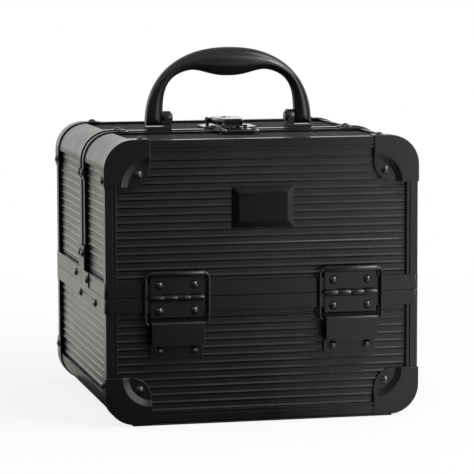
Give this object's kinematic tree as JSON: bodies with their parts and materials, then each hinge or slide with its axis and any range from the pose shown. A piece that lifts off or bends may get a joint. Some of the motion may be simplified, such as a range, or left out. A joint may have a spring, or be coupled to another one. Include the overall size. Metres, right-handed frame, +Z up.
{
  "type": "makeup train case",
  "caption": "Two-lid makeup train case with ribbed black panels, metal corner caps, bail hinges, a swinging handle, a draw latch and two cantilever trays",
  "frame": {"origin": "middle of the face that the closed case stands on", "axes": "+Z up, -Y towards the front face with the badge plate and two bail hinges, +X to the right seen from the front"},
  "size_m": [0.2572, 0.2518, 0.2887],
  "materials": {
    "ribbed_panel": "black anodised, satin, fine ribs",
    "corner_round": "black anodised, satin",
    "floor_board": "plain board",
    "glide_plate": "matt, fine grain",
    "profile": "black anodised, satin",
    "cap": "black enamel, satin",
    "lining": "short black pile",
    "hinge": "black nickel, satin",
    "wire": "black nickel",
    "pin": "bright",
    "rivet": "black nickel, polished",
    "badge": "black, polished, bare",
    "latch": "dark chrome",
    "lock": "bright",
    "bracket": "black nickel",
    "grip": "black, satin gloss",
    "arm": "plated",
    "tray": "black, fine grain"
  },
  "bodies": {
    "base": {"base_front_panel": "ribbed_panel", "base_rear_panel": "ribbed_panel", "base_end_panels": "ribbed_panel", "base_corner_rounds": "corner_round", "base_floor": "floor_board", "base_glide_plate": "glide_plate", "base_edge_profiles": "profile", "base_rim": "profile", "base_corner_caps": "cap", "base_liner": "lining", "base_hinge_leaves": "hinge", "bail_pockets": "hinge", "hinge_pins": "pin", "base_rivets": "rivet", "tray_pivots": "pin"},
    "front_lid": {"front_lid_panel": "ribbed_panel", "front_lid_top": "ribbed_panel", "front_lid_ends": "ribbed_panel", "front_lid_rounds": "corner_round", "front_lid_edge_profile": "profile", "front_lid_rim": "profile", "front_lid_seam_profile": "profile", "front_lid_caps": "cap", "front_lid_seam_caps": "cap", "front_lid_joint_plates": "cap", "front_lid_hinge_leaves": "hinge", "front_lid_liner": "lining", "front_lid_rivets": "rivet", "badge_plate": "badge", "latch_catch": "latch", "stay_pivots": "pin"},
    "rear_lid": {"rear_lid_panel": "ribbed_panel", "rear_lid_top": "ribbed_panel", "rear_lid_ends": "ribbed_panel", "rear_lid_rounds": "corner_round", "rear_lid_edge_profile": "profile", "rear_lid_rim": "profile", "rear_lid_seam_profile": "profile", "rear_lid_caps": "cap", "rear_lid_seam_caps": "cap", "rear_lid_joint_plates": "cap", "rear_lid_hinge_leaves": "hinge", "rear_lid_liner": "lining", "rear_lid_rivets": "rivet", "handle_brackets": "bracket", "handle_pins": "pin", "latch_base": "latch"},
    "handle": {"handle": "grip"},
    "latch_lever": {"latch_lever": "latch", "lock_cylinder": "lock"},
    "front_bails": {"front_bails": "wire"},
    "rear_bails": {"rear_bails": "wire"},
    "front_tray_arms": {"front_tray_arms": "arm"},
    "rear_tray_arms": {"rear_tray_arms": "arm"},
    "tray_stays": {"tray_stays": "arm"},
    "lower_tray": {"lower_tray": "tray"},
    "upper_tray": {"upper_tray": "tray"}
  },
  "joints": [
    {"name": "front_lid_hinge", "type": "hinge", "parent": "base", "child": "front_lid", "pos_m": [0, -0.1216, 0.1], "axis": [1, 0, 0], "range_deg": [0, 90]},
    {"name": "rear_lid_hinge", "type": "hinge", "parent": "base", "child": "rear_lid", "pos_m": [0, 0.1216, 0.1], "axis": [-1, 0, 0], "range_deg": [0, 90]},
    {"name": "handle_pivot", "type": "hinge", "parent": "rear_lid", "child": "handle", "pos_m": [0, 0.005, 0.231], "axis": [-1, 0, 0], "range_deg": [-85, 85]},
    {"name": "latch_pivot", "type": "hinge", "parent": "rear_lid", "child": "latch_lever", "pos_m": [0, 0.028, 0.2275], "axis": [-1, 0, 0], "range_deg": [0, 60]},
    {"name": "front_bail_pivot", "type": "hinge", "parent": "front_lid", "child": "front_bails", "pos_m": [0, -0.1216, 0.1188], "axis": [1, 0, 0], "range_deg": [-60, 0]},
    {"name": "rear_bail_pivot", "type": "hinge", "parent": "rear_lid", "child": "rear_bails", "pos_m": [0, 0.1216, 0.1188], "axis": [-1, 0, 0], "range_deg": [-60, 0]},
    {"name": "front_arm_pivot", "type": "hinge", "parent": "base", "child": "front_tray_arms", "pos_m": [0, -0.0751, 0.092], "axis": [1, 0, 0], "range_deg": [0, 46.2]},
    {"name": "rear_arm_pivot", "type": "hinge", "parent": "base", "child": "rear_tray_arms", "pos_m": [0, -0.0065, 0.092], "axis": [1, 0, 0], "range_deg": [0, 46.2]},
    {"name": "lower_tray_pivot", "type": "hinge", "parent": "front_tray_arms", "child": "lower_tray", "pos_m": [0, -0.0751, 0.14], "axis": [1, 0, 0], "range_deg": [-46.2, 0]},
    {"name": "upper_tray_pivot", "type": "hinge", "parent": "front_tray_arms", "child": "upper_tray", "pos_m": [0, -0.0751, 0.188], "axis": [1, 0, 0], "range_deg": [-46.2, 0]},
    {"name": "stay_pivot", "type": "hinge", "parent": "front_lid", "child": "tray_stays", "pos_m": [0, -0.0993, 0.1148], "axis": [1, 0, 0], "range_deg": [-44.6, 0]}
  ],
  "couplings": [
    {"joint": "front_bail_pivot", "follows": "front_lid_hinge", "ratio": -0.66},
    {"joint": "rear_bail_pivot", "follows": "rear_lid_hinge", "ratio": -0.66},
    {"joint": "front_arm_pivot", "follows": "front_lid_hinge", "ratio": 0.51111},
    {"joint": "rear_arm_pivot", "follows": "front_lid_hinge", "ratio": 0.51111},
    {"joint": "lower_tray_pivot", "follows": "front_lid_hinge", "ratio": -0.51111},
    {"joint": "upper_tray_pivot", "follows": "front_lid_hinge", "ratio": -0.51111},
    {"joint": "stay_pivot", "follows": "front_lid_hinge", "ratio": -0.493}
  ]
}
